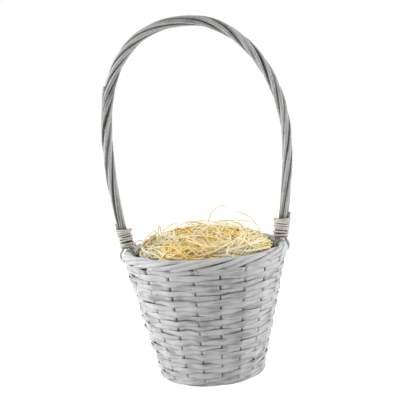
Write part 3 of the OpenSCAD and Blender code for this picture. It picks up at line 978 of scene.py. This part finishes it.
class BASKET_OT_eyes(bpy.types.Operator):
    """Bends an eye round the border on each side"""
    bl_idname = "basket.eyes"
    bl_label = "Eyes"

    def execute(self, context):
        handle = context.scene.basket_handle
        border_r = RIM_R + context.scene.basket_wall.border_out
        foot = CORE_LOW.z
        turn = np.linspace(EYE_FROM, EYE_TO, EYE_STATIONS)
        for side, node in ((-1, "left_eye"), (1, "right_eye")):
            thick, beside = eye_size(handle, side)
            low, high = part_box(node)
            loop = RIM_H - low.z - thick / 2
            outside = np.linspace(high.z + EYE_TIP, foot, EYE_LEG_STATIONS)
            inside = np.linspace(foot, high.z - 2 * EYE_TIP, EYE_LEG_STATIONS)
            tip = leg_x(inside[-1], handle) - beside - TIP_LEAN, 0, inside[-1] + EYE_TIP / 2
            path = np.concatenate([
                np.stack([leg_x(outside, handle) + beside, 0 * outside, outside], 1),
                np.stack([border_r + loop * np.cos(turn), 0 * turn, RIM_H + loop * np.sin(turn)], 1),
                np.stack([leg_x(inside, handle) - beside, 0 * inside, inside], 1), [tip]]) * (side, 1, 1)
            made = lay_rod(node + "_rod", rounded(path, EYE_STEP, passes=2), (0, 1, 0), thick, thick,
                           chance(node), wash=EYE_WASH)
            dress(made, handle_willow(handle), "handle", "handle_willow", node)
        return {"FINISHED"}


CANE_STATIONS = 36
CANE_FIXED = 0.1
CANE_RISE, CANE_LOOSE, CANE_UNEVEN = 0.0004, 0.025, 0.12
# Slope of a binding's turns from its foot to its top, and over which share it fades at the top
TILT_AT = (0, 0.35, 1)
TILTS = {"left_binding": (0.0, 0.45, 0.3), "right_binding": (0.1, 0.55, 0.05)}
TILT_OUT = 0.25
# Ends of cane that stick out inside the left binding
LOOSE_ENDS = (
    ((-0.0915, -0.003, 0.168), (-0.0885, -0.006, 0.1725), (-0.084, -0.008, 0.1765), (-0.079, -0.008, 0.1765),
     (-0.0755, -0.006, 0.173), (-0.077, -0.004, 0.169), (-0.081, -0.004, 0.169), (-0.083, -0.006, 0.1715)),
    ((-0.093, -0.006, 0.172), (-0.0895, -0.009, 0.1695), (-0.086, -0.010, 0.1665), (-0.082, -0.009, 0.167)),
    ((-0.092, 0.004, 0.175), (-0.088, 0.001, 0.171), (-0.0845, -0.003, 0.1675), (-0.079, -0.006, 0.1665)))
END_THICK = 0.0012


class BASKET_OT_bindings(bpy.types.Operator):
    """Winds a cane round each foot of the bow and the legs of its eye"""
    bl_idname = "basket.bindings"
    bl_label = "Bindings"

    def execute(self, context):
        handle = context.scene.basket_handle
        material = cane_finish(handle)
        ends = [lay_rod(f"loose_end_{i}", rounded(end, END_THICK), (0, 1, 0), END_THICK, END_THICK,
                        chance("loose_end", i), sides=6) for i, end in enumerate(LOOSE_ENDS)]
        for side, node, loose in ((-1, "left_binding", ends), (1, "right_binding", [])):
            made = self.winding(node + "_cane", node, side, handle)
            dress(join(made.name, [made, *loose]), material, "handle", "binding_cane", node)
        return {"FINISHED"}

    def winding(self, name, node, side, handle):
        """The turns of one binding, from its foot to its top."""
        rng = chance(node)
        low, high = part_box(node)
        wide, thick, turns = handle.cane_wide, handle.cane_thick, handle.cane_turns
        eye_thick, beside = eye_size(handle, side)
        half_x = beside + (eye_thick + thick) / 2
        half_y = foot_reach(handle) + thick / 2
        stations = CANE_STATIONS * turns
        turn = np.linspace(0, math.tau * turns, stations)
        share = turn / turn[-1]
        free = (share < 1 - CANE_FIXED) * (share > CANE_FIXED)
        z = low.z + wide / 2 + (high.z - low.z - wide) * share
        z = z + wander(rng, stations, 3 * turns, CANE_RISE) * free
        loose = 1 + wander(rng, stations, 2 * turns, CANE_LOOSE)
        tilt = np.interp(share, TILT_AT, TILTS[node]) * np.clip((1 - share) / TILT_OUT, 0, 1)
        z = z + tilt * half_x * (1 - np.cos(turn)) / 2
        x = leg_x(z, handle) + half_x * loose * np.cos(turn)
        path = np.stack([side * x, half_y * loose * np.sin(turn), z], 1)
        facing = np.stack([side * np.cos(turn), np.sin(turn), 0 * turn], 1)
        wide = wide * (1 + wander(rng, stations, 2 * turns, CANE_UNEVEN))
        return lay_rod(name, path, np.cross(tangents(path, False), facing), wide, thick, rng, sides=8)


# Straw: a lumpy bed with stalks laid over it

NEAR = 1e-4
BED_INSET = 0.0025
BED_COLUMNS = 120
BED_STEP = 0.003
BED_LUMPS = (40, 0.001)
BED_GIRTH = 0.5
# The bed lies deep between the stalks and takes mostly the painted shade colour
BED_SHADE, BED_TONE = 0.3, 0.7
BRIM_DROP = 0.002
# Low places of the heap and a tuft: each has a place in plan, a spread and a depth
DENTS = ((0.088, 0.0, 0.036, 0.016), (-0.090, 0.0, 0.040, 0.022), (0.070, 0.045, 0.034, 0.006),
         (-0.070, 0.045, 0.034, 0.006), (-0.063, -0.008, 0.015, -0.020), (0.0, -0.080, 0.060, 0.002))
SAG_BELOW, SAG_OVER = 0.020, 0.025


def straw_profile():
    """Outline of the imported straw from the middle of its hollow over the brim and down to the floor."""
    points = node_points("straw_bed")
    radius = np.hypot(points[:, 0], points[:, 1])
    z = points[:, 2]
    low, top = z.min(), z.max()
    brim = radius[z > top - NEAR].min()
    heap = radius[z > top - NEAR].max()
    hollow = z[(radius < brim - NEAR) & (z > (low + top) / 2)].min()
    hollow_r = radius[np.abs(z - hollow) < NEAR].max()
    widest = radius.max()
    low_r = radius[z < low + NEAR].max()
    waist = z[radius > widest - NEAR].min()
    edge = [(0, hollow), (hollow_r, hollow), (brim, top - BRIM_DROP), (heap, top),
            (widest, top - (widest - heap)), (widest, waist), (low_r, low), (0, low)]
    return rounded(np.array([(r, 0, h) for r, h in edge]), BED_STEP)[:, [0, 2]]


def sagged(radius, azimuth, z):
    """Heights of the heap with its low places."""
    x, y = radius * np.cos(azimuth), radius * np.sin(azimuth)
    drop = 0
    for dent_x, dent_y, spread, depth in DENTS:
        drop = drop + depth * np.exp(-((x - dent_x) ** 2 + (y - dent_y) ** 2) / spread ** 2)
    return z - drop * np.clip((z - RIM_H + SAG_BELOW) / SAG_OVER, 0, 1)


# Room that the stalks leave: over the border, at the right and left foot of the bow, and below
OVERHANG = 0.0925
EYE_ROOM = 0.020
FOOT_ROOM = (0.081, 0.075)
FLOOR_ROOM = 0.001
ABOVE_RIM, BELOW_RIM = 0.004, 0.012


def kept(radius, azimuth, z, profile, ragged):
    """Keeps stalks clear of the wall, the border and the eyes."""
    border_r = RIM_R + bpy.context.scene.basket_wall.border_out
    z = np.maximum(z, profile[:, 1].min() + FLOOR_ROOM)
    side = profile[profile[:, 0].argmax():][::-1]
    side = side[side[:, 1] > side[0, 1] + NEAR]
    inside = np.interp(z, side[:, 1], side[:, 0])
    away = smooth(np.abs(np.sin(azimuth)) * RIM_R, EYE_ROOM, 2 * EYE_ROOM)
    foot_room = np.where(np.cos(azimuth) > 0, *FOOT_ROOM) - ragged
    above = z > RIM_H + ABOVE_RIM
    over = foot_room * (1 - away) + (OVERHANG - ragged / 2) * away
    under = np.minimum(inside, foot_room * (1 - away) + inside * away)
    under = np.where(z > RIM_H - BELOW_RIM, under, inside)
    radius = np.minimum(radius, np.where(above, over, under))
    border = np.sqrt(np.maximum(BORDER_ROOM ** 2 - (radius - border_r) ** 2, 0))
    return radius, np.where(above, np.maximum(z, RIM_H + border), z)


STALK_STEPS = 8
STALK_FLAT = 0.35
STALK_ROLL = 0.4
STALK_TIP = 0.5
STALK_WIDTHS = (0.55, 1.25)
STALK_TONES = (1.4, 2.8)
GRAIN_LONG, GRAIN_WIDE, GRAIN_APART = 0.006, 0.0006, 0.37


def stalks(name, path, normal, stalk_wide, rng, depth, ripe=1.0):
    """Three-cornered stalks along many paths, as one mesh."""
    number, steps = path.shape[:2]
    along = unit(np.gradient(path, axis=1))
    across = unit(np.cross(along, normal))
    roll = rng.normal(0, STALK_ROLL, number)[:, None, None]
    flat = np.cos(roll) * across + np.sin(roll) * np.cross(across, along)
    level = np.cross(flat, along)
    ends = np.interp(np.arange(steps), (0, 1, steps - 2, steps - 1), (STALK_TIP, 1, 1, STALK_TIP))
    half = stalk_wide / 2 * rng.uniform(*STALK_WIDTHS, number)[:, None, None] * ends[None, :, None]
    corners = np.stack([path + half * flat, path + 2 * half * STALK_FLAT * level, path - half * flat], 2)
    edges = corners.shape[2]
    corner = np.arange(edges)
    after = (corner + 1) % edges
    ring = edges * np.arange(steps - 1)[:, None]
    sides = np.stack(np.broadcast_arrays(ring + corner, ring + after, ring + edges + after,
                                         ring + edges + corner), -1).reshape(-1, 4)
    caps = np.stack([corner[::-1], edges * (steps - 1) + corner])
    each = edges * steps * np.arange(number)[:, None, None]
    faces = (sides + each).reshape(-1, 4).tolist() + (caps + each).reshape(-1, edges).tolist()
    mesh = bpy.data.meshes.new(name)
    mesh.from_pydata(corners.reshape(-1, 3).tolist(), [], faces)
    loops = np.empty(len(mesh.loops), np.int32)
    mesh.loops.foreach_get("vertex_index", loops)
    stalk, spot = np.divmod(loops, edges * steps)
    uv = np.stack([spot // edges * GRAIN_LONG + stalk * GRAIN_APART, spot % edges * GRAIN_WIDE + stalk], 1)
    mesh.uv_layers.new(name="UVMap").data.foreach_set("uv", uv.astype(np.float32).ravel())
    tone = ripe * rng.beta(*STALK_TONES, number)
    # Each stalk's depth is stored as painted shade, darker the lower it lies
    store(mesh, wash=np.repeat(depth, edges * steps), tone=np.repeat(tone, edges * steps))
    made = bpy.data.objects.new(name, mesh)
    bpy.context.scene.collection.objects.link(made)
    close_up(made, weld=False)
    return made


# How many stalks lie where: shares of the way to the brim, and then the floor
SHOWN_AT = np.array((0, 0.5, 1, 1.25, 1.5))
SHOWN = (0.5, 1.1, 2.4, 2.4, 0.8, 0.5)
SHOWN_LEAST_R = 0.01
HEADING, HEADING_ASTRAY = 0.42, (1, 1, 1, 3)
LAID_BEND, LAID_LONG = 0.7, (0.03, 0.095)
LEAST_R, TURN_R = 0.001, 0.015
PUSH_OVER = 0.010
RAGGED = 0.014
CROSSED_REACH, CROSSED_LIMIT = 0.055, 0.074
CROSSED_BEND, CROSSED_LONG = 4.0, (0.03, 0.09)
DEPTH_LEAST, DEPTH_OVER = 0.35, 0.004
# Shape and scale of how far stalks are lifted, arched and pushed out over the border
LIFT, ARCH, PUSH = (1.6, 0.0012), (1.2, 0.0016), (1.2, 0.0035)
STRAY_ROOT_R, STRAY_ROOT = (0.05, 0.078), 0.006
STRAY_TIP_R, STRAY_TIP = (0.045, 0.08), (-0.004, 0.014)
STRAY_TURN, STRAY_ARCH = 0.6, (2.0, 0.007)
STRAY_SLIM, STRAY_RIPE = 0.7, 0.3
STRAY_FACING = np.array([0.0, -1.0, 0.3])
CURL_STEP = 0.00075
# Long stray stalks, each from its root in the bed to its tip
CURLS = (
    ((0.004, 0.030, 0.166), (0.006, 0.022, 0.190), (0.014, 0.012, 0.208), (0.030, 0.004, 0.214),
     (0.034, 0.0, 0.206)),
    ((0.074, -0.012, 0.164), (0.072, -0.006, 0.178), (0.066, 0.0, 0.190), (0.056, 0.004, 0.199),
     (0.044, 0.006, 0.203)),
    ((0.060, 0.020, 0.166), (0.050, 0.016, 0.184), (0.030, 0.010, 0.194), (0.008, 0.004, 0.190)),
    ((-0.003, -0.045, 0.166), (-0.012, -0.045, 0.176), (-0.014, -0.043, 0.186), (-0.006, -0.040, 0.191),
     (0.001, -0.038, 0.183)),
    ((-0.062, -0.010, 0.166), (-0.056, -0.016, 0.180), (-0.046, -0.020, 0.182), (-0.040, -0.024, 0.172)))


def depths(lift):
    """How far stalks lie out of the bed's shade, by their lift."""
    return np.clip(DEPTH_LEAST + lift / DEPTH_OVER, 0, 1)


def evenly(points, steps):
    """A fixed number of points along a rounded path."""
    path = rounded(points, CURL_STEP)
    return path[np.rint(np.linspace(0, len(path) - 1, steps)).astype(int)]


class BASKET_OT_straw(bpy.types.Operator):
    """Heaps the straw: a bed and the stalks that lie on it"""
    bl_idname = "basket.straw"
    bl_label = "Straw"

    def execute(self, context):
        settings = context.scene.basket_straw
        rng = chance("straw")
        profile = straw_profile()
        bed = self.bed(profile, rng)
        laid = self.laid(profile, settings, rng)
        crossed = self.crossed(profile, settings, rng)
        strays = self.strays(profile, settings, rng)
        made = join("straw_heap", [bed, laid, crossed, strays])
        dress(made, straw_finish(settings), "straw", "straw", "straw_bed")
        return {"FINISHED"}

    def bed(self, profile, rng):
        """The heap under the stalks."""
        azimuth = np.linspace(0, math.tau, BED_COLUMNS + 1)
        step = np.gradient(profile, axis=0)
        out = unit(np.stack([-step[:, 1], step[:, 0]], 1))
        lumps = np.stack([wander(rng, BED_COLUMNS, *BED_LUMPS, True) for _ in profile])
        lumps = np.concatenate([lumps, lumps[:, :1]], 1) - BED_INSET
        edge = profile[:, None] + lumps[..., None] * out[:, None]
        edge[[0, -1]] = edge[[0, -1]].mean(1)[:, None]
        edge[[0, -1], :, 0] = 0
        radius = np.maximum(edge[..., 0], 0)
        points = polar(radius, azimuth[None], sagged(radius, azimuth[None], edge[..., 1]))
        even = np.ones(points.shape[:2])
        return skin("straw_core", points, np.arange(len(profile)) * BED_STEP, BED_GIRTH,
                    wash=BED_SHADE * even, tone=BED_TONE * even)

    def laid(self, profile, settings, rng):
        """Stalks that follow the heap, most of them round its brim."""
        number = settings.stalks
        run = np.arange(len(profile)) * np.linalg.norm(profile[1] - profile[0])
        brim = profile[:, 1].argmax() / len(profile)
        shown = np.interp(np.linspace(0, 1, len(run)), (*brim * SHOWN_AT, 1), SHOWN)
        shown = shown * np.maximum(profile[:, 0], SHOWN_LEAST_R)

        def on_heap(at):
            return np.stack([np.interp(at, run, profile[:, axis]) for axis in range(2)], 1)

        at = np.interp(rng.uniform(size=number), np.cumsum(shown) / shown.sum(), run)
        azimuth = rng.uniform(0, math.tau, number)
        heading = rng.normal(0, HEADING, number) * rng.choice(HEADING_ASTRAY, number)
        heading = heading + math.pi * rng.randint(0, 2, number)
        bend = rng.normal(0, LAID_BEND, number)
        stride = rng.uniform(*LAID_LONG, number) / (STALK_STEPS - 1)
        lift = rng.gamma(*LIFT, number)
        arch = rng.gamma(*ARCH, number)
        push = rng.gamma(*PUSH, number)
        ragged = rng.uniform(0, RAGGED, number)
        path = np.empty((number, STALK_STEPS, 3))
        normal = np.empty_like(path)
        for i in range(STALK_STEPS):
            radius, z = on_heap(at).T
            along_r, along_z = unit(on_heap(at + BED_STEP) - on_heap(at - BED_STEP)).T
            height = lift + arch * math.sin(math.pi * i / (STALK_STEPS - 1)) - BED_INSET / 2
            radius = np.maximum(radius - along_z * height, LEAST_R)
            z = sagged(radius, azimuth, z + along_r * height)
            radius = radius + push * np.clip((z - RIM_H) / PUSH_OVER, 0, 1)
            radius, z = kept(radius, azimuth, z, profile, ragged)
            path[:, i] = polar(radius, azimuth, z)
            normal[:, i] = polar(-along_z, azimuth, along_r)
            at = np.clip(at + np.sin(heading) * stride, 0, run[-1])
            azimuth = azimuth + np.cos(heading) * stride / np.maximum(radius, TURN_R)
            heading = heading + bend / STALK_STEPS
        return stalks("laid_stalks", path, normal, settings.stalk_wide, rng, depths(lift))

    def crossed(self, profile, settings, rng):
        """Stalks that lie across the hollow in all directions."""
        number = settings.crossed
        hollow = profile[:profile[:, 1].argmax() + 1]
        reach = CROSSED_REACH * np.sqrt(rng.uniform(size=number))
        first = polar(reach, rng.uniform(0, math.tau, number), 0.0)
        turn = rng.uniform(0, math.tau, number)[:, None]
        along = np.linspace(-0.5, 0.5, STALK_STEPS)[None] * rng.uniform(*CROSSED_LONG, number)[:, None]
        bend = rng.normal(0, CROSSED_BEND, number)[:, None] * along ** 2
        x = first[:, :1] + along * np.cos(turn) - bend * np.sin(turn)
        y = first[:, 1:2] + along * np.sin(turn) + bend * np.cos(turn)
        radius = np.minimum(np.hypot(x, y), CROSSED_LIMIT)
        azimuth = np.arctan2(y, x)
        lift = rng.gamma(*LIFT, number)
        z = np.interp(radius, hollow[:, 0], hollow[:, 1]) + lift[:, None]
        path = polar(radius, azimuth, sagged(radius, azimuth, z))
        normal = np.broadcast_to(np.array([0.0, 0.0, 1.0]), path.shape)
        return stalks("crossed_stalks", path, normal, settings.stalk_wide, rng, depths(lift))

    def strays(self, profile, settings, rng):
        """Stalks that stand up from the heap in loose arcs."""
        number = settings.strays
        top = profile[:, 1].max()
        azimuth = rng.uniform(0, math.tau, number)
        first = polar(rng.uniform(*STRAY_ROOT_R, number), azimuth, top - STRAY_ROOT)
        tip_r = rng.uniform(*STRAY_TIP_R, number)
        azimuth = azimuth + rng.normal(0, STRAY_TURN, number)
        last = polar(tip_r, azimuth, top + rng.uniform(*STRAY_TIP, number))
        middle = (first + last) / 2
        middle[:, 2] += rng.gamma(*STRAY_ARCH, number)
        path = bezier(first[:, None], middle[:, None], last[:, None], STALK_STEPS)
        path = np.concatenate([path, [evenly(curl, STALK_STEPS) for curl in CURLS]])
        normal = np.broadcast_to(STRAY_FACING, path.shape)
        return stalks("stray_stalks", path, normal, STRAY_SLIM * settings.stalk_wide, rng,
                      np.ones(len(path)), STRAY_RIPE)


# Stage: floor, lamps, sky and the photograph's camera

STAGE_WIDTH = 12.0
FLOOR_ROUGH, FLOOR_GLOW, FLOOR_SHARE = 0.9, 1.3, 0.75
LAMP_AIM = Vector((0, 0, 0.2))
# Place and width of each lamp
LAMPS = {"left": ((-1.2, -0.05, 0.45), 1.0), "right": ((1.2, 0.05, 0.4), 1.0), "top": ((0.0, -0.3, 1.5), 1.2)}
CAMERA_PLACE = Vector((-0.0016, -0.9847, 0.3347))
CAMERA_PITCH = math.radians(6.55)
CAMERA_ROLL = math.radians(4.01)
CAMERA_LENS = 70.28


class BASKET_OT_stage(bpy.types.Operator):
    """Sets the floor, the lamps, the sky and the camera"""
    bl_idname = "basket.stage"
    bl_label = "Stage"

    def execute(self, context):
        settings = context.scene.basket_stage
        self.floor(settings)
        self.sky(context.scene, settings)
        for side, (place, size) in LAMPS.items():
            self.lamp(side + "_lamp", place, size, getattr(settings, side + "_power"))
        self.camera(context.scene)
        context.scene.view_settings.view_transform = "Standard"
        return {"FINISHED"}

    def floor(self, settings):
        """A wide floor, which glows a little for the camera alone."""
        bpy.ops.object.select_all(action="DESELECT")
        bpy.ops.mesh.primitive_plane_add(size=STAGE_WIDTH)
        floor = bpy.context.object
        floor.name = "floor"
        material, shader, wire = new_material("pale_floor")
        shader.inputs["Base Color"].default_value = rgba(settings.floor_colour)
        shader.inputs["Roughness"].default_value = FLOOR_ROUGH
        plain = Wire(wire.tree, shader.outputs[0])
        white = wire.node("ShaderNodeEmission", {"Strength": FLOOR_GLOW})
        both = wire.node("ShaderNodeMixShader", {0: wire.seen() * FLOOR_SHARE, 1: plain, 2: white})
        end = material.node_tree.nodes["Material Output"]
        wire.tree.links.new(both.socket, end.inputs["Surface"])
        floor.data.materials.append(material)

    def sky(self, scene, settings):
        """An even white light, which the camera sees at its full strength."""
        scene.world = bpy.data.worlds.new("sky")
        scene.world.use_nodes = True
        wire = Wire(scene.world.node_tree)
        strength = settings.sky + wire.seen() * (1 - settings.sky)
        background = wire.tree.nodes["Background"]
        wire.tree.links.new(strength.socket, background.inputs["Strength"])
        background.inputs["Color"].default_value = (1, 1, 1, 1)

    def lamp(self, name, place, size, power):
        """A round lamp that looks at the basket."""
        bpy.ops.object.light_add(type="AREA", location=place)
        lamp = bpy.context.object
        lamp.name = name
        lamp.data.shape = "DISK"
        lamp.data.size = size
        lamp.data.energy = power
        lamp.rotation_euler = (LAMP_AIM - lamp.location).to_track_quat("-Z", "Y").to_euler()

    def camera(self, scene):
        """The camera of the photograph, rolled a little."""
        bpy.ops.object.camera_add(location=CAMERA_PLACE)
        camera = bpy.context.object
        camera.name = "photo_camera"
        camera.data.lens = CAMERA_LENS
        turn = Matrix.Rotation(math.pi / 2 - CAMERA_PITCH, 4, "X") @ Matrix.Rotation(-CAMERA_ROLL, 4, "Z")
        camera.rotation_euler = turn.to_euler()
        scene.camera = camera


OPERATORS = (BASKET_OT_base, BASKET_OT_stakes, BASKET_OT_rows, BASKET_OT_wale, BASKET_OT_bow, BASKET_OT_eyes,
             BASKET_OT_bindings, BASKET_OT_straw, BASKET_OT_stage)
SETTINGS = {"basket_wall": WallSettings, "basket_handle": HandleSettings, "basket_straw": StrawSettings,
            "basket_stage": StageSettings}


class BASKET_PT_pieces(bpy.types.Panel):
    """Lists the basket's pieces and their settings"""
    bl_idname = "BASKET_PT_pieces"
    bl_label = "Wicker Basket"
    bl_space_type = "VIEW_3D"
    bl_region_type = "UI"
    bl_category = "Basket"

    def draw(self, context):
        for operator in OPERATORS:
            self.layout.operator(operator.bl_idname)
        for group in SETTINGS:
            box = self.layout.box()
            settings = getattr(context.scene, group)
            for key in settings.__annotations__:
                box.prop(settings, key)


def register():
    for name, group in SETTINGS.items():
        bpy.utils.register_class(group)
        setattr(bpy.types.Scene, name, PointerProperty(type=group))
    for operator in OPERATORS:
        bpy.utils.register_class(operator)
    bpy.utils.register_class(BASKET_PT_pieces)


def unregister():
    bpy.utils.unregister_class(BASKET_PT_pieces)
    for operator in reversed(OPERATORS):
        bpy.utils.unregister_class(operator)
    for name, group in SETTINGS.items():
        delattr(bpy.types.Scene, name)
        bpy.utils.unregister_class(group)


def main():
    register()
    bpy.ops.basket.base()
    bpy.ops.basket.stakes()
    bpy.ops.basket.rows()
    bpy.ops.basket.wale()
    bpy.ops.basket.bow()
    bpy.ops.basket.eyes()
    bpy.ops.basket.bindings()
    bpy.ops.basket.straw()
    bpy.ops.basket.stage()


if __name__ == "__main__":
    main()
